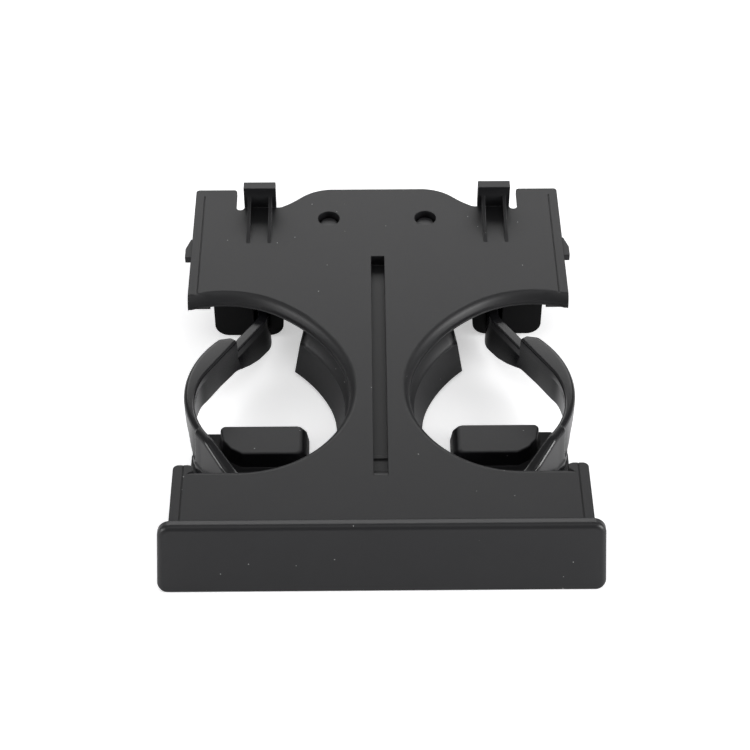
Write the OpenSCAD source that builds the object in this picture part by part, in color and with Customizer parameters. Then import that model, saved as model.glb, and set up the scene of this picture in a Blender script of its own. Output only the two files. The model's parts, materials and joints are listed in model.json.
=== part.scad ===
// Pull-out twin cup holder for a car dashboard.
// X runs to the right, Y to the rear, Z up. The holder stands on Z = 0.
// Places along Y are first given from the front line, the rear top edge of the front panel.

/* [Tray] */
// Width of the tray plate
tray_w = 186; // [180:1:200]
// Length of the tray plate behind the front panel
tray_len = 225; // [220:1:240]
// Thickness of the tray plate
plate_t = 2.4; // [2:0.1:3]
// Height of the plate's top above the table
plate_top = 33.5; // [33:0.5:38]
// Width of the raised rail along each side
rail_w = 4.5; // [3:0.5:6]
// Depth of the side rails below the plate's top
rail_h = 6.5; // [5:0.5:8]
// Width of the guide channel under each rear corner
guide_w = 9; // [8:0.5:11]
// Depth of the guide channel below the plate's top
guide_h = 10; // [8:0.5:12]

/* [Ring cut-outs] */
// Distance from the tray's side to the cup's centre
cup_in = 43; // [41:0.5:46]
// Distance from the front line to the cup's centre
cup_y = 77; // [75:1:80]
// Distance from the cup's centre inward to the arc round the waist, centre to centre
waist_dx = 14; // [12:0.5:16]
// Distance from the cup's centre back to the waist arc's centre
waist_dy = 4; // [2:0.5:6]
// Radius of the rim round the waist
waist_r = 50; // [48:0.5:52]
// Radius of the flatter rim that leads to the rear
sweep_r = 80; // [76:1:90]
// Radius of the rim at the rear
rear_r = 50; // [46:0.5:54]
// Width of the rolled rim, seen from above
roll_w = 4; // [3:0.5:5]
// Drop of the rolled rim
roll_h = 6.5; // [5:0.5:7.5]

/* [Rear end] */
// Width of the centre groove
groove_w = 6.6; // [5:0.2:9]
// Depth of the centre groove
groove_d = 6; // [4:0.5:7]
// Distance of the groove's front end from the front line
groove_front = 26; // [22:1:30]
// Distance of the groove's rear end from the front line
groove_rear = 173; // [165:1:180]
// Distance of a stop hook's middle from the centre line
hook_x = 59.6; // [57:0.2:62]
// Width of a stop hook
hook_w = 16.2; // [12:0.2:18]
// Height of a stop hook above the plate
hook_h = 12.5; // [8:0.5:15]
// Thickness of a stop hook
hook_t = 5; // [3:0.5:6]
// Width of the slot outside each hook
slot_w = 4.2; // [3:0.1:5]
// Depth of the rear notches, from the rear edge
notch_d = 14; // [11:0.5:16]
// Half the width of the straight middle of the rear edge
rear_flat = 27; // [24:1:29]
// Distance between the two rear holes
hole_pitch = 49; // [40:1:56]
// Diameter of the rear holes
hole_d = 11; // [8:0.5:13]
// Distance of the rear holes from the rear edge
hole_back = 23; // [20:0.5:28]

/* [Front panel] */
// Width of the front panel at its foot
panel_w = 199; // [196:1:210]
// Narrowing of the panel from foot to top
panel_taper = 3; // [0:0.5:6]
// Backward lean of the panel
panel_lean = 12; // [5:1:18]
// Rise of the panel's top edge above the plate
panel_rise = 1.2; // [0.6:0.2:2]
// Thickness of the panel across its edge
panel_t = 5; // [4.5:0.5:7]
// Wall of the panel
panel_wall = 2.4; // [2:0.1:3]

/* [Arms] */
// Radius inside an arm's curve, for a cup at rest
arm_r = 36; // [35:0.5:37]
// Wall of an arm
arm_wall = 2.6; // [2:0.1:3.2]
// Width of an arm's top band at its narrowest
band_w = 5.4; // [4.5:0.1:6]
// Thickness of an arm's top band
band_t = 3; // [2.5:0.1:4]
// Drop of the band's top below the plate's top
arm_drop = 3; // [2:0.5:4]
// Height of an arm at its side and rear
arm_h = 19; // [16:0.5:22]
// Thickness of an arm's neck
neck_w = 5; // [4:0.2:6]
// Height of an arm's neck
neck_h = 16; // [13:0.5:17]
// Radius inside the bend that leads the neck to its hub
bend_r = 14; // [10:1:18]
// Swing of an arm away from the cup
arm_swing = 13; // [8:1:14]

/* [Pivots] */
// Distance of a pivot pin from the tray's side
pivot_in = 36.5; // [35:0.5:38]
// Distance of a pivot pin from the front line
pivot_y = 157; // [155:0.5:160]
// Diameter of a pivot pin
pin_d = 4; // [3:0.5:5]
// Diameter of an arm's hub
hub_d = 13; // [11:0.5:14]
// Running clearance round a pin, on the radius
run_gap = 0.05; // [0.02:0.01:0.1]
// Clearance between pieces that pass each other
pass_gap = 0.5; // [0.3:0.1:0.8]
// Diameter of the spring wire
wire_d = 0.9; // [0.7:0.1:1.1]

/* [Liners and rests] */
// Wall of a liner
liner_wall = 2.2; // [1.8:0.1:2.6]
// Inward lean of a liner from the rim to its foot
liner_lean = 6.3; // [4:0.1:8]
// Height of a liner's plain lower wall
liner_band = 16; // [13:0.5:18]
// Length of a rest pad across the tray
pad_w = 38; // [34:1:40]
// Depth of a rest pad from front to rear
pad_l = 18; // [14:1:20]
// Height of a rest pad above its base
pad_h = 8.5; // [6:0.5:10]
// Thickness of a rest's base
rest_t = 3; // [2.5:0.5:3.5]

/* [Screws] */
// Diameter of a screw's shank
screw_d = 2.8; // [2.4:0.1:3.2]
// Diameter of a screw's head
screw_head = 5.6; // [5:0.1:6.4]
// Height of a screw's head
screw_head_h = 1.8; // [1.4:0.1:2.2]

/* [Hidden] */

big = 400;                 // reach of a cutting block
fine = 96;                 // fineness of the large arcs
small = 40;                // fineness of bores and pins

// Heights
plate_under = plate_top - plate_t;
rim_foot = plate_top - roll_h;
arm_top = plate_top - arm_drop;
foot_gap = 1;              // height of the rests' bases above the table
rest_top = foot_gap + rest_t;
arm_foot = rest_top + pass_gap;
neck_top = plate_top - roll_h - 3.5;
neck_foot = neck_top - neck_h;
cover_foot = 3;            // height of the pivot covers above the table

// Places in plan, for the right side
half_w = tray_w / 2;
cup_x = half_w - cup_in;
waist_c = [cup_x + waist_dx, cup_y + waist_dy];
waist_a = 156;             // where the waist arc meets the flatter sweep
sweep_a = 122;             // where the sweep meets the rear arc
sweep_c = waist_c - (sweep_r - waist_r) * [cos(waist_a), sin(waist_a)];
rear_c = sweep_c + (sweep_r - rear_r) * [cos(sweep_a), sin(sweep_a)];
front_rim = waist_c[1] - waist_r;
pivot_x = half_w - pivot_in;

// The front panel leans, so its foot reaches further forward than its top
panel_top = plate_top + panel_rise;
panel_back = 0.8;          // gap between the front line and the panel's top edge
panel_reach = panel_back + panel_top * tan(panel_lean) + panel_t / cos(panel_lean);
shift_y = (panel_reach - tray_len) / 2;

module placed() { translate([0, shift_y, 0]) children(); }
module sided(side) { mirror([side == "left" ? 1 : 0, 0, 0]) children(); }
module both() { children(); mirror([1, 0, 0]) children(); }
module upright(z0, z1) { translate([0, 0, z0]) linear_extrude(z1 - z0) children(); }

// A run along the ring's edge is a list of frames: a point on the edge's line and the unit
// vector that points away from the ring. Offsets o are measured along that vector
function arc_frames(c, r, a0, a1, step = 4) = let (n = ceil(abs(a1 - a0) / step))
  [for (i = [0:n]) let (a = a0 + (a1 - a0) * i / n, u = [cos(a), sin(a)]) [c + r * u, u]];
function tail(list) = [for (i = [1:len(list) - 1]) list[i]];

// The edge of the cut-out: straight at the front, then three arcs that run into each other
rear_end_a = 66;           // the rear arc leaves the tray before this angle
rim_frames = concat([[[half_w + 1, front_rim], [0, -1]]], arc_frames(waist_c, waist_r, 270, waist_a),
                    tail(arc_frames(sweep_c, sweep_r, waist_a, sweep_a, 3)),
                    tail(arc_frames(rear_c, rear_r, sweep_a, rear_end_a)));
module cutout_plan(grow) {
  polygon(concat([for (f = rim_frames) f[0] + grow * f[1]],
                 [[big, rear_c[1] + rear_r], [big, front_rim - grow]]));
}

// Solid that carries a closed section, points [o, z] in turn against the clock, along a run
module along(frames, section) {
  tube([for (f = frames) [for (q = section) [f[0][0] + q[0] * f[1][0], f[0][1] + q[0] * f[1][1], q[1]]]]);
}
// Solid through a row of closed rings that have as many points each
module tube(rings) {
  n = len(rings);
  m = len(rings[0]);
  points = [for (r = rings) each r];
  walls = [for (i = [0:n - 2]) for (k = [0:m - 1]) let (a = i * m + k, b = i * m + (k + 1) % m)
    each [[a, a + m, b + m], [a, b + m, b]]];
  polyhedron(points, concat(walls, [[for (k = [0:m - 1]) k]], [[for (k = [m - 1:-1:0]) (n - 1) * m + k]]));
}

// Section of the rolled rim, which starts at the edge's line and reaches into the plate
roll_t = 2;                // wall of the rolled rim
rim_lap = 0.5;             // overlap of the rolled rim and the plate
roll_step = 22.5;
roll_section = concat(
  [for (t = [0:roll_step:90]) [roll_w * (1 - sin(t)), plate_top - roll_h * (1 - cos(t))]],
  [for (t = [90:-roll_step:0]) [roll_w - (roll_w - roll_t) * sin(t), rim_foot + (roll_h - plate_t) * cos(t)]],
  [[roll_w + 2 * rim_lap, plate_under], [roll_w + 2 * rim_lap, plate_top]]);
module rims() {
  intersection() {
    along(rim_frames, roll_section);
    cube([half_w, tray_len, big]);
  }
}

// Rear outline of one half: straight middle, a slope, the notch, the hook's tongue, a slot and the ear
hook_in = hook_x - hook_w / 2;
hook_out = hook_x + hook_w / 2;
notch_y = tray_len - notch_d;
tongue_end = notch_y + hook_t;
module rear_cuts() {
  polygon([[rear_flat, tray_len + 1], [rear_flat, tray_len], [rear_flat + 8, tray_len - 3],
           [hook_in - 8, tray_len - 10.5], [hook_in - 2.5, notch_y], [hook_in, notch_y],
           [hook_in, tray_len + 1]]);
  translate([hook_in - 0.01, tongue_end]) square([hook_w + 0.02, notch_d]);
  translate([hook_out, notch_y - 2 + slot_w / 2]) square([slot_w, notch_d + 4]);
  translate([hook_out + slot_w / 2, notch_y - 2 + slot_w / 2]) circle(d = slot_w, $fn = small);
}

module plate_plan() {
  difference() {
    square([half_w, tray_len]);
    cutout_plan(roll_w + rim_lap);
    rear_cuts();
  }
}

// Centre groove: a trough whose front end ramps up
groove_wall = 1.8;
module groove_body() {
  w = groove_w / 2 + groove_wall;
  translate([0, groove_front - groove_wall, plate_top - groove_d - groove_wall])
    cube([w, groove_rear - groove_front + 2 * groove_wall, groove_d + groove_wall - 0.5]);
}
groove_ramp = 8;           // length of the ramp at the groove's front end
module groove_cut() {
  rotate([90, 0, 90]) linear_extrude(groove_w / 2)
    polygon([[groove_front, plate_top + 1], [groove_front, plate_top],
             [groove_front + groove_ramp, plate_top - groove_d],
             [groove_rear, plate_top - groove_d], [groove_rear, plate_top + 1]]);
}
step_y = groove_front + groove_ramp + 7;   // place of the low catch across the groove
module groove_step() {
  translate([0, step_y, plate_top - groove_d - 0.2]) cube([groove_w / 2 + 0.2, 2, 0.9]);
}

// Stop hook with its two gussets
gusset_t = 1.6;
gusset_h = 7.8;
gusset_len = 28;
module hook() {
  translate([hook_in, notch_y, plate_under]) cube([hook_w, hook_t, plate_t + hook_h]);
  for (x = [hook_in + 2, hook_out - 2 - gusset_t])
    translate([x, notch_y + 0.5, plate_top - 0.5]) rotate([90, 0, 90]) linear_extrude(gusset_t)
      polygon([[0, 0], [-gusset_len, 0], [-gusset_len, 0.6], [0, gusset_h]]);
}

// Guide channel under a rear corner, open below
guide_front = rear_c[1] + rear_r + 1.5;
module guide() {
  x1 = half_w - 1.5;
  difference() {
    translate([x1 - guide_w, guide_front, plate_top - guide_h])
      cube([guide_w, tray_len - guide_front - 3, guide_h - 0.5]);
    translate([x1 - guide_w + 1.8, guide_front + 4, plate_top - guide_h - 1])
      cube([guide_w - 3.6, tray_len - guide_front, guide_h - plate_t + 1]);
  }
}

// Short screw bosses under the tray, each as [x, y]. The liners' ears and the posts of the
// covers and rests are screwed to them from below
screw_len = 8;
boss_d = screw_d + 4;
boss_h = 8;
ear_t = 2;                 // floor between a boss and its screw's head
boss_foot = plate_under - boss_h;
cover_w = 34;              // width of a pivot cover
cover_x0 = pivot_x - 9.5;  // inner side of a pivot cover
cover_y0 = rear_c[1] + rear_r + roll_w + 0.3;
cover_y1 = pivot_y + 16.5;
cover_wall = 2;
boss_in = boss_d / 2 + cover_wall + 0.2;
cover_bosses = [for (x = [cover_x0 + boss_in, cover_x0 + cover_w - boss_in]) [x, cover_y1 - boss_in]];
rest_bosses = [for (dx = [-8, 30]) [cup_x + dx, 12]];
module bosses(places) {
  for (p = places) translate([p[0], p[1], boss_foot]) difference() {
    cylinder(d = boss_d, h = boss_h + 0.5, $fn = small);
    translate([0, 0, -0.5]) cylinder(d = screw_d + 2 * run_gap, h = screw_len - ear_t + 0.5, $fn = small);
  }
}

// Posts that reach up to the bosses, and the wells in them for the screws
post_wall = 1;
well_d = screw_head + 0.8;
module posts(places, z0) {
  for (p = places) translate([p[0], p[1], z0]) cylinder(d = well_d + 2 * post_wall, h = boss_foot - z0, $fn = small);
}
module wells(places) {
  for (p = places) translate([p[0], p[1], -1]) {
    cylinder(d = well_d, h = boss_foot - ear_t + 1, $fn = small);
    cylinder(d = screw_d + 0.4, h = plate_top, $fn = small);
  }
}
module screws_up(places) { for (p = places) translate([p[0], p[1], boss_foot - ear_t]) screw(); }

// The boss under the plate that holds the top of a pivot pin, with the spring round it
top_boss_d = pin_d + 2.6;
top_boss_foot = neck_top + 0.6;
module pivot_boss() {
  translate([pivot_x, pivot_y, top_boss_foot]) difference() {
    cylinder(d = top_boss_d, h = plate_under - top_boss_foot + 0.5, $fn = small);
    translate([0, 0, -0.5]) cylinder(d = pin_d + 2 * run_gap, h = big, $fn = small);
  }
}

// Lug on the side of the rear half: a ramp with a block in front of it
lug_reach = 3.6;
module side_lug() {
  translate([0, 0, plate_top - rail_h - 1.5]) linear_extrude(3.5)
    polygon([[half_w - 1, tray_len - 33.5], [half_w + 1.2, tray_len - 33.5], [half_w + lug_reach, tray_len - 40.5],
             [half_w + lug_reach, tray_len - 47], [half_w - 1, tray_len - 47]]);
}

// Thin line that sets the side rail off from the plate
module rail_line() {
  translate([half_w - rail_w - 0.3, -1, plate_top - 0.3]) cube([0.5, tray_len - 4, 1]);
}

// The wall behind the front panel, which the panel is screwed to
front_wall_t = 2.4;
front_wall_foot = 6;
panel_screw_x = [0, tray_w * 0.36];
panel_screw_z = (front_wall_foot + plate_under) / 2;
module front_wall() {
  translate([0, 0, front_wall_foot]) cube([half_w - 2, front_wall_t, plate_under - front_wall_foot + 0.5]);
}

rib_t = 1.6;
rib_h = 4;
rib_rows = [for (k = [0.2, 0.6]) cover_y1 + k * (tray_len - cover_y1)];
module ribs() {
  // Cross ribs under the rear and the front of the plate
  for (y = rib_rows) translate([0, y, plate_under - rib_h]) cube([half_w - guide_w - 1, rib_t, rib_h + 0.5]);
  translate([0, groove_front - 6, plate_under - rib_h]) cube([rest_bosses[0][0], rib_t, rib_h + 0.5]);
  // Stiffener beside the pivot cover
  translate([cover_x0 - 6.6, cover_y0 - 1.5, plate_top - 16]) cube([6, 3, 16 - plate_t + 0.5]);
}

// The front corner runs back a little past the rim
module corner_lip() {
  upright(plate_top - rail_h, plate_top)
    polygon([[half_w - 9, front_rim - 1], [half_w - 9, front_rim + 1], [half_w - 7.5, front_rim + 2],
             [half_w - 1.5, front_rim + 2], [half_w, front_rim + 0.5], [half_w, front_rim - 5],
             [half_w - rail_w, front_rim - 5]]);
}

module tray_half() {
  difference() {
    union() {
      upright(plate_under, plate_top) plate_plan();
      rims();
      groove_body();
      hook();
      guide();
      front_wall();
      ribs();
      pivot_boss();
      corner_lip();
      bosses(concat(cover_bosses, rest_bosses, liner_ears));
      hole_cup();
      side_lug();
      // Side rails
      translate([half_w - rail_w, 0, plate_top - rail_h]) cube([rail_w, front_rim - roll_w, rail_h]);
      translate([half_w - rail_w, guide_front + 6, plate_top - rail_h])
        cube([rail_w, tray_len - guide_front - 6, rail_h]);
    }
    groove_cut();
    hole_cut();
    rail_line();
    for (x = [0, panel_screw_x[1]]) translate([x, -1, panel_screw_z]) rotate([-90, 0, 0])
      cylinder(d = screw_d + 0.4, h = front_wall_t + 2, $fn = small);
  }
  groove_step();
}

module tray() {
  color("#3c3c3f") placed() both() tray_half();
}

// Front panel: a leaning shell, open behind. Its layers are drawn in its own plane:
// x across, y down the face from the top edge, z out of the face
panel_len = panel_top / cos(panel_lean) + panel_t * tan(panel_lean);
panel_edge = 1.6;          // rounding of the panel's front edge
top_corner = 6;
foot_corner = 4.5;
module panel_layer(inset, z0, z1) {
  top_half = (panel_w - panel_taper) / 2;
  translate([0, 0, z0]) linear_extrude(z1 - z0) hull() both() {
    translate([top_half - top_corner, top_corner]) circle(top_corner - inset, $fn = 32);
    translate([panel_w / 2 - foot_corner, panel_len - foot_corner]) circle(foot_corner - inset, $fn = 32);
  }
}
module in_panel() {
  translate([0, -panel_back, panel_top]) rotate([90 - panel_lean, 0, 0]) mirror([0, 1, 0]) children();
}
panel_bosses = [-panel_screw_x[1], 0, panel_screw_x[1]];
module front_panel() {
  color("#38383a") placed() {
    boss_y = panel_back + (panel_top - panel_screw_z) * tan(panel_lean)
             + (panel_t - panel_wall) / cos(panel_lean) + 0.5;
    difference() {
      union() {
        difference() {
          in_panel() hull() {
            panel_layer(0, 0, 0.1);
            panel_layer(0, panel_t - panel_edge - 0.1, panel_t - panel_edge);
            panel_layer(panel_edge * 0.3, panel_t - panel_edge * 0.4, panel_t - panel_edge * 0.3);
            panel_layer(panel_edge, panel_t - 0.05, panel_t);
          }
          in_panel() panel_layer(panel_wall, -1, panel_t - panel_wall);
        }
        for (x = panel_bosses) translate([x, 0, panel_screw_z]) rotate([90, 0, 0])
          cylinder(d = boss_d, h = boss_y, $fn = small);
      }
      for (x = panel_bosses) translate([x, 1, panel_screw_z]) rotate([90, 0, 0])
        cylinder(d = screw_d + 2 * run_gap, h = boss_y, $fn = small);
      translate([-big / 2, -big / 2, -big]) cube(big);
    }
  }
}

// A pan head screw that points up, with its head below z = 0
module screw() {
  difference() {
    translate([0, 0, -screw_head_h]) cylinder(d = screw_head, h = screw_head_h, $fn = small);
    for (a = [0, 90]) rotate([0, 0, a]) translate([-1.5, -0.3, -screw_head_h - 1]) cube([3, 0.6, 1.8]);
  }
  cylinder(d = screw_d, h = screw_len - 0.6, $fn = small);
}
module panel_screws() {
  color("#6a6a6c") placed() for (x = panel_bosses)
    translate([x, front_wall_t, panel_screw_z]) rotate([90, 0, 0]) screw();
}

// Arm of the right ring. Its line runs along the inner side of the neck and the band, from the
// hub to the tip. A station says how far: 1 and 2 at the ends of the neck's bend, 3 at the kink
// between neck and band, 4 and 5 at the ends of the curve round the cup, and 6 at the tip
front_a = -37;
rear_a = 32;
arm_front_len = 36;        // straight stretch that runs under the front of the tray
kink = 24;                 // straight stretch of the band behind the curve
neck_x = pivot_x - neck_w / 2;
neck_run = (cup_x + arm_r * cos(rear_a) - neck_x - bend_r * (1 - cos(rear_a))) / sin(rear_a);
bend_c = [neck_x + bend_r, turned(rear_a, [arm_r, neck_run])[1] + bend_r * sin(rear_a)];
function ray(a) = [cos(a), sin(a)];
function turned(a, p) = [cup_x, cup_y] + p[0] * ray(a) + p[1] * ray(a + 90);
function arm_angle(n) = lookup(n, [[1, 0], [2, rear_a], [4, rear_a], [5, front_a]]);
function arm_place(n) =
  n <= 1 ? [neck_x, pivot_y + n * (bend_c[1] - pivot_y)] :
  n <= 2 ? bend_c - bend_r * ray(arm_angle(n)) :
  n <= 3 ? turned(rear_a, [arm_r, neck_run + (n - 2) * (kink - neck_run)]) :
  n <= 4 ? turned(rear_a, [arm_r, kink * (4 - n)]) :
  n <= 5 ? turned(arm_angle(n), [arm_r, 0]) :
           turned(front_a, [arm_r, (5 - n) * arm_front_len]);
arm_stations = concat([0, 0.6, 1], [for (k = [1:6]) 1 + k / 6], [for (k = [1:4]) 2 + k / 4],
                      [3.02, 3.08, 3.16, 3.3, 3.5, 3.75, 4, 4.06], [for (k = [0:12]) 4.1 + 0.075 * k],
                      [for (k = [1:8]) 5 + k / 8]);

// Heights along the arm, as pairs of station and value
dip = 5;                   // drop of the band's top where it passes under the tray
side_foot = arm_top - arm_h;
arm_tops = [[3, neck_top], [3.02, arm_top], [5.11, arm_top], [5.6, arm_top - dip]];
arm_feet = [[0.6, neck_foot], [1, arm_foot + 1], [1.5, arm_foot], [2.34, arm_foot + 1.5],
            [2.68, arm_foot + 4], [3.15, side_foot + 2], [3.65, side_foot + 0.5], [4.52, side_foot],
            [4.66, arm_foot]];
arm_lips = [[3, neck_top - band_t - 1], [3.02, arm_top - 2 * band_t], [4.45, arm_top - 2 * band_t],
            [4.82, arm_foot + 6]];

// The top band is a crescent, wide at the rear and narrow at the front: its outer edge is an arc
// of radius band_r. Further on the arm keeps a width of its own
band_c = [cup_x - 8, cup_y + 6];
band_r = arm_r + band_w + 8;
band_round = 2.2;          // rounding of the band's outer edge
mouth_round = 1.2;         // rounding of its inner edge
neck_round = 0.8;
front_flare = 1.5;         // the flank at the front spreads so far to its foot
neck_lean = 2;             // the neck leans so far to the ring at its foot
inner_set = 0.9;           // the inner wall is set back so far at the side of the cup
bulge = 0.1;               // soft swell of the walls below the band
front_widths = [[4.8, 0], [4.9, band_w - 1], [5, band_w - 1], [5.5, band_w + 0.2]];
function to_arc(n) = let (q = arm_place(n) - band_c, b = q * ray(arm_angle(n)))
  sqrt(b * b - q * q + band_r * band_r) - b;
function arm_width(n) = n <= 3 ? neck_w :
  max(lookup(n, front_widths), min(to_arc(n), neck_w + (n - 3.02) * kink * 1.1));

// Section of the arm at a station: points [distance from the line, height] against the clock,
// from the inner foot round the outside to the top and down the inner wall
function arm_section(n) =
  let (top = lookup(n, arm_tops), foot = lookup(n, arm_feet), lip = lookup(n, arm_lips),
       w = arm_width(n), fill = lookup(n, [[4.66, 0], [4.82, 1]]), flare = fill * front_flare,
       wall = (1 - fill) * lookup(n, [[3.02, neck_w], [3.3, arm_wall]]) + fill * (w + flare),
       lean = -lookup(n, [[0.6, 0], [1, neck_lean / 2], [2, neck_lean], [3, neck_lean], [3.65, 0]]),
       back = lookup(n, [[4.06, 0], [4.1, inner_set], [4.7, inner_set], [4.8, 0]]),
       outer = n <= 3 ? neck_round : band_round, inner = n <= 3 ? neck_round : mouth_round)
  [[lean + back, foot], [lean + wall, foot], [wall - bulge, lip - 0.6], [w + 0.7 * flare + bulge, lip],
   [w, top - outer], [w - 0.3 * outer, top - 0.3 * outer], [w - outer, top],
   [inner, top], [0.3 * inner, top - 0.3 * inner], [0, top - inner], [-bulge, top - 4], [back, top - 5]];
function arm_ring(n) = let (p = arm_place(n), u = ray(arm_angle(n)))
  [for (q = arm_section(n)) [p[0] + q[0] * u[0], p[1] + q[0] * u[1], q[1]]];
module arm() {
  difference() {
    union() {
      tube([for (n = arm_stations) arm_ring(n)]);
      translate([pivot_x, pivot_y, neck_foot - 0.4]) cylinder(d = hub_d, h = neck_h + 0.6, $fn = small);
    }
    translate([pivot_x, pivot_y, 0]) cylinder(d = pin_d + 2 * run_gap, h = big, $fn = small);
  }
}
module left_arm() { color("#404042") placed() sided("left") arm(); }
module right_arm() { color("#404042") placed() sided("right") arm(); }

// Pivot pin, from the cover's floor up into the boss under the plate
module pivot_pin() {
  translate([pivot_x, pivot_y, cover_foot + 0.6])
    cylinder(d = pin_d, h = plate_under - cover_foot - 1.2, $fn = small);
}
module left_pivot_pin() { color("#b4b6b8") placed() sided("left") pivot_pin(); }
module right_pivot_pin() { color("#b4b6b8") placed() sided("right") pivot_pin(); }

// Torsion spring round the upper boss: a lower leg, the coil and an upper leg
coil_r = top_boss_d / 2 + 0.3 + wire_d / 2;
coil_turns = 4;
coil_z0 = neck_top + 0.5 + wire_d / 2;
coil_z1 = plate_under - 0.3 - wire_d / 2;
leg_len = pivot_y - cover_y0 - cover_wall - 0.5;
function coil_path(steps = 14) = let (n = coil_turns * steps) concat(
  [[coil_r, -leg_len, coil_z0]],
  [for (i = [0:n]) [coil_r * cos(i * 360 / steps), coil_r * sin(i * 360 / steps),
                    coil_z0 + (coil_z1 - coil_z0) * i / n]],
  [[coil_r, leg_len, coil_z1]]);
module sweep_wire(path, r, sides = 6) {
  n = len(path);
  function heading(i) = let (a = path[max(i - 1, 0)], b = path[min(i + 1, n - 1)]) (b - a) / norm(b - a);
  function ring(i) = let (t = heading(i), u = cross([0, 0, 1], t) / norm(cross([0, 0, 1], t)), v = cross(t, u))
    [for (k = [0:sides - 1]) path[i] + r * (cos(k * 360 / sides) * u + sin(k * 360 / sides) * v)];
  tube([for (i = [0:n - 1]) ring(i)]);
}
module arm_spring() {
  translate([pivot_x, pivot_y, 0]) sweep_wire(coil_path(), wire_d / 2);
}
module left_arm_spring() { color("#9a9c9e") placed() sided("left") arm_spring(); }
module right_arm_spring() { color("#9a9c9e") placed() sided("right") arm_spring(); }

// Pivot cover: a tub with rounded lower corners, a window for the neck, and screw holes
cover_round = 7;
foot_d = 6;
module tub_profile(inset) {
  x0 = cover_x0 + inset;
  x1 = cover_x0 + cover_w - inset;
  z0 = cover_foot + inset;
  r = cover_round - inset;
  translate([x0 + r, z0 + r]) circle(r, $fn = small);
  translate([x1 - r, z0 + r]) circle(r, $fn = small);
  translate([x0 + r, z0]) square([x1 - x0 - 2 * r, 2 * r]);
  translate([x0, z0 + r]) square([x1 - x0, plate_under - z0 - r]);
}
module tub(inset, y0, y1, lift = 0) {
  translate([0, y1, lift]) rotate([90, 0, 0]) linear_extrude(y1 - y0) tub_profile(inset);
}
window_x0 = pivot_x - neck_w / 2 - 0.3;
window_x1 = pivot_x + neck_w / 2 + (pivot_y - cover_y0) * tan(arm_swing) + 0.6;
module pivot_cover() {
  difference() {
    union() {
      difference() {
        tub(0, cover_y0, cover_y1);
        tub(cover_wall, cover_y0 + cover_wall, cover_y1 - cover_wall, 0);
        translate([cover_x0 + cover_wall, cover_y0 + cover_wall, plate_under - cover_round])
          cube([cover_w - 2 * cover_wall, cover_y1 - cover_y0 - 2 * cover_wall, cover_round + 1]);
      }
      // Socket for the pin, and posts under the tray's bosses
      translate([pivot_x, pivot_y, cover_foot]) cylinder(d = pin_d + 4, h = neck_foot - 0.6 - cover_foot, $fn = small);
      intersection() {
        tub(0, cover_y0, cover_y1);
        posts(cover_bosses, cover_foot);
      }
      // Feet on the table
      for (x = [cover_x0 + 6, cover_x0 + cover_w - 6]) translate([x, pivot_y + 0.6, 0])
        cylinder(d = foot_d, h = cover_foot + 1.6, $fn = small);
    }
    translate([pivot_x, pivot_y, cover_foot + 0.6]) cylinder(d = pin_d + 2 * run_gap, h = big, $fn = small);
    translate([window_x0, cover_y0 - 1, neck_foot - 0.6])
      cube([window_x1 - window_x0, cover_wall + 2, neck_h + 1.2]);
    wells(cover_bosses);
  }
}
module left_pivot_cover() { color("#141415") placed() sided("left") pivot_cover(); }
module right_pivot_cover() { color("#141415") placed() sided("right") pivot_cover(); }
module left_cover_screws() { color("#6a6a6c") placed() sided("left") screws_up(cover_bosses); }
module right_cover_screws() { color("#6a6a6c") placed() sided("right") screws_up(cover_bosses); }

// Liner: the inner wall of a ring. It leans inward to its foot and is set back under the rim
liner_foot = 2.5;
liner_front_a = 222;
liner_rear_a = 133;
liner_line = liner_foot + liner_band;
liner_in = -liner_lean * (rim_foot - liner_line) / (rim_foot - liner_foot);
liner_back = roll_t + 0.5;
liner_section = [
  [-liner_lean, liner_foot], [liner_wall - liner_lean, liner_foot], [liner_in + liner_wall + 1.4, liner_line - 0.6],
  [liner_back + liner_wall, rim_foot - 2], [liner_back + liner_wall, plate_under], [liner_back, plate_under],
  [liner_back, rim_foot - 2], [liner_in + 1.8, liner_line + 0.8], [liner_in, liner_line]];
liner_frames = concat(arc_frames(waist_c, waist_r, liner_front_a, waist_a),
                      tail(arc_frames(sweep_c, sweep_r, waist_a, liner_rear_a, 3)));
ear_reach = 10;           // distance of an ear's screw from the edge's line
ear_rear_a = liner_rear_a + 4;
ear_front_a = liner_front_a - 4;
liner_ears = [sweep_c + (sweep_r + ear_reach) * [cos(ear_rear_a), sin(ear_rear_a)],
              waist_c + (waist_r + ear_reach) * [cos(ear_front_a), sin(ear_front_a)]];
module liner() {
  difference() {
    union() {
      along(liner_frames, liner_section);
      ear(liner_ears[0], sweep_c, sweep_r, ear_rear_a);
      ear(liner_ears[1], waist_c, waist_r, ear_front_a);
    }
    for (p = liner_ears) translate([p[0], p[1], 0]) cylinder(d = screw_d + 0.4, h = big, $fn = small);
  }
}
module ear(p, c, r, a) {
  translate([0, 0, boss_foot - ear_t]) {
    translate(p) cylinder(d = boss_d, h = ear_t, $fn = small);
    translate(c) rotate([0, 0, a]) translate([r + liner_back + liner_wall / 2, -boss_d / 2])
      cube([ear_reach - liner_back - liner_wall / 2, boss_d, ear_t]);
  }
}
module left_liner() { color("#343436") placed() sided("left") liner(); }
module right_liner() { color("#343436") placed() sided("right") liner(); }
module left_liner_screws() { color("#6a6a6c") placed() sided("left") screws_up(liner_ears); }
module right_liner_screws() { color("#6a6a6c") placed() sided("right") screws_up(liner_ears); }

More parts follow.
